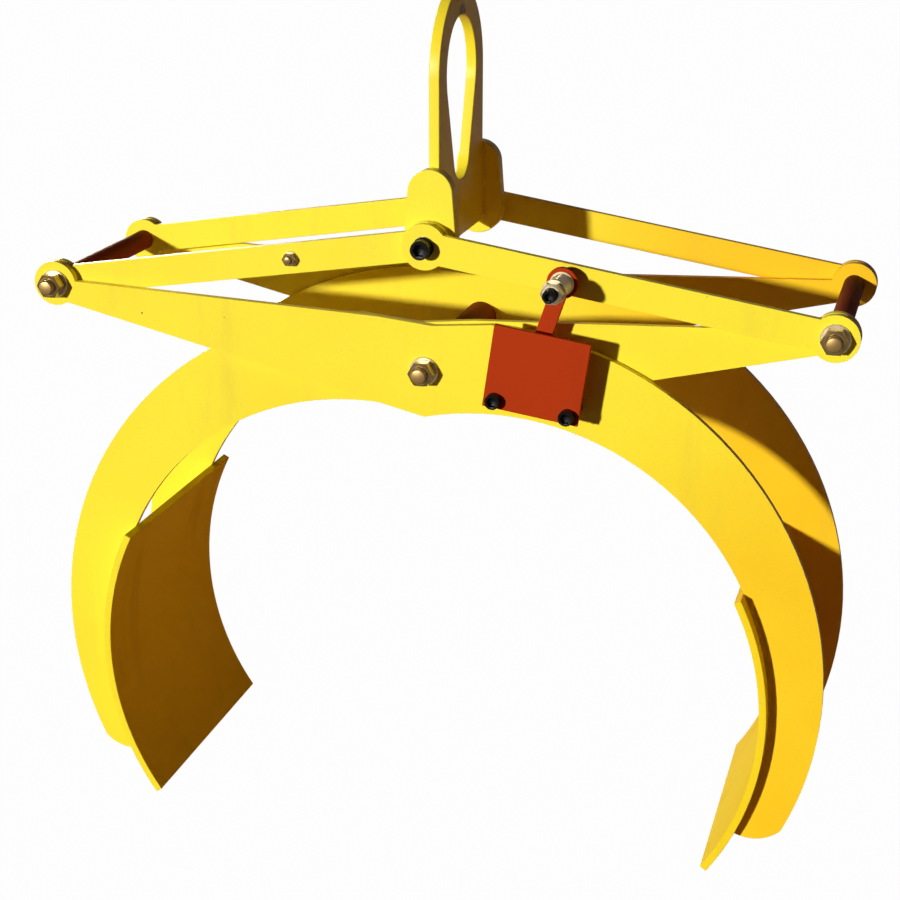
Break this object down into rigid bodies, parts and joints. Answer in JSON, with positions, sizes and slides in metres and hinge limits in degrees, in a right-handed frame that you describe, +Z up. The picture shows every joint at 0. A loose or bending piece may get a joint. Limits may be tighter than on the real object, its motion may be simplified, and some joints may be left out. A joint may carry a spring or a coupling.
{
  "type": "pipe lifting clamp",
  "caption": "Self-closing scissor clamp that lifts a large pipe: curved jaws with wide pads on a pivoted linkage, a plate bail for the crane hook, and a hold-open latch behind a guard.",
  "frame": {"origin": "the point under the crown of the bail's slot where the crane hook bears", "axes": "+Z up along the pull of the hook, +X across the jaws to the latch side, Y along the pipe with -Y the front that carries the guard"},
  "size_m": [1.322, 0.523, 1.3611],
  "materials": {
    "yellow_paint": "yellow enamel on steel plate, worn at the edges",
    "red_paint": "orange-red enamel on steel bar and plate",
    "brown_primer": "brown primer on steel tube",
    "zinc_plate": "zinc-plated steel",
    "black_steel": "black-oxide steel",
    "bronze": "sintered bronze"
  },
  "bodies": {
    "head": {"bail_plate": "yellow_paint", "front_lug": "yellow_paint", "rear_lug": "yellow_paint", "head_screws": "black_steel", "head_collars": "black_steel", "lug_thrust_washers": "zinc_plate", "head_thrust_washers": "zinc_plate"},
    "left_link": {"left_link_front": "yellow_paint", "left_link_rear": "yellow_paint", "left_link_bushes": "bronze", "stop_bolt": "zinc_plate", "stop_washer": "zinc_plate", "stop_nut": "zinc_plate"},
    "right_link": {"right_link_front": "yellow_paint", "right_link_rear": "yellow_paint", "right_link_bushes": "bronze", "right_corner_pivot_bolt": "zinc_plate", "right_corner_pivot_nut": "zinc_plate", "right_corner_pivot_washers": "zinc_plate", "right_corner_thrust_washers": "zinc_plate", "right_corner_spacer_tube": "brown_primer", "latch_pin": "zinc_plate", "latch_spacer": "brown_primer", "latch_washers": "zinc_plate", "latch_spring": "zinc_plate", "latch_nut": "zinc_plate"},
    "right_jaw_arm": {"right_jaw_arm_front": "yellow_paint", "right_jaw_arm_rear": "yellow_paint", "right_jaw_pad": "yellow_paint", "left_corner_pivot_bolt": "zinc_plate", "left_corner_pivot_nut": "zinc_plate", "left_corner_pivot_washers": "zinc_plate", "left_corner_thrust_washers": "zinc_plate", "left_corner_spacer_tube": "brown_primer", "main_pivot_bolt": "zinc_plate", "main_pivot_nut": "zinc_plate", "main_pivot_washers": "zinc_plate", "main_thrust_washers": "zinc_plate", "main_spacer_tube": "brown_primer", "guard_plate": "red_paint", "guard_screws": "black_steel", "guard_standoffs": "brown_primer", "catch_pin": "zinc_plate"},
    "left_jaw_arm": {"left_jaw_arm_front": "yellow_paint", "left_jaw_arm_rear": "yellow_paint", "left_jaw_pad": "yellow_paint", "left_jaw_arm_bushes": "bronze"},
    "latch_rod": {"latch_rod": "red_paint"}
  },
  "joints": [
    {"name": "grip", "type": "hinge", "parent": "head", "child": "left_link", "pos_m": [0, 0, -0.3302], "axis": [0, -1, 0], "range_deg": [0, 14]},
    {"name": "right_link_turn", "type": "hinge", "parent": "head", "child": "right_link", "pos_m": [0, 0, -0.3302], "axis": [0, 1, 0], "range_deg": [0, 14]},
    {"name": "right_jaw_turn", "type": "hinge", "parent": "left_link", "child": "right_jaw_arm", "pos_m": [-0.62498, 0, -0.42807], "axis": [0, 1, 0], "range_deg": [0, 28]},
    {"name": "left_jaw_turn", "type": "hinge", "parent": "right_link", "child": "left_jaw_arm", "pos_m": [0.62498, 0, -0.42807], "axis": [0, -1, 0], "range_deg": [0, 28]},
    {"name": "latch_swing", "type": "hinge", "parent": "right_link", "child": "latch_rod", "pos_m": [0.22229, -0.211, -0.36501], "axis": [0, 1, 0], "range_deg": [-3.5, 25]}
  ],
  "couplings": [
    {"joint": "right_link_turn", "follows": "grip", "ratio": 1},
    {"joint": "right_jaw_turn", "follows": "grip", "ratio": 2},
    {"joint": "left_jaw_turn", "follows": "grip", "ratio": 2}
  ]
}
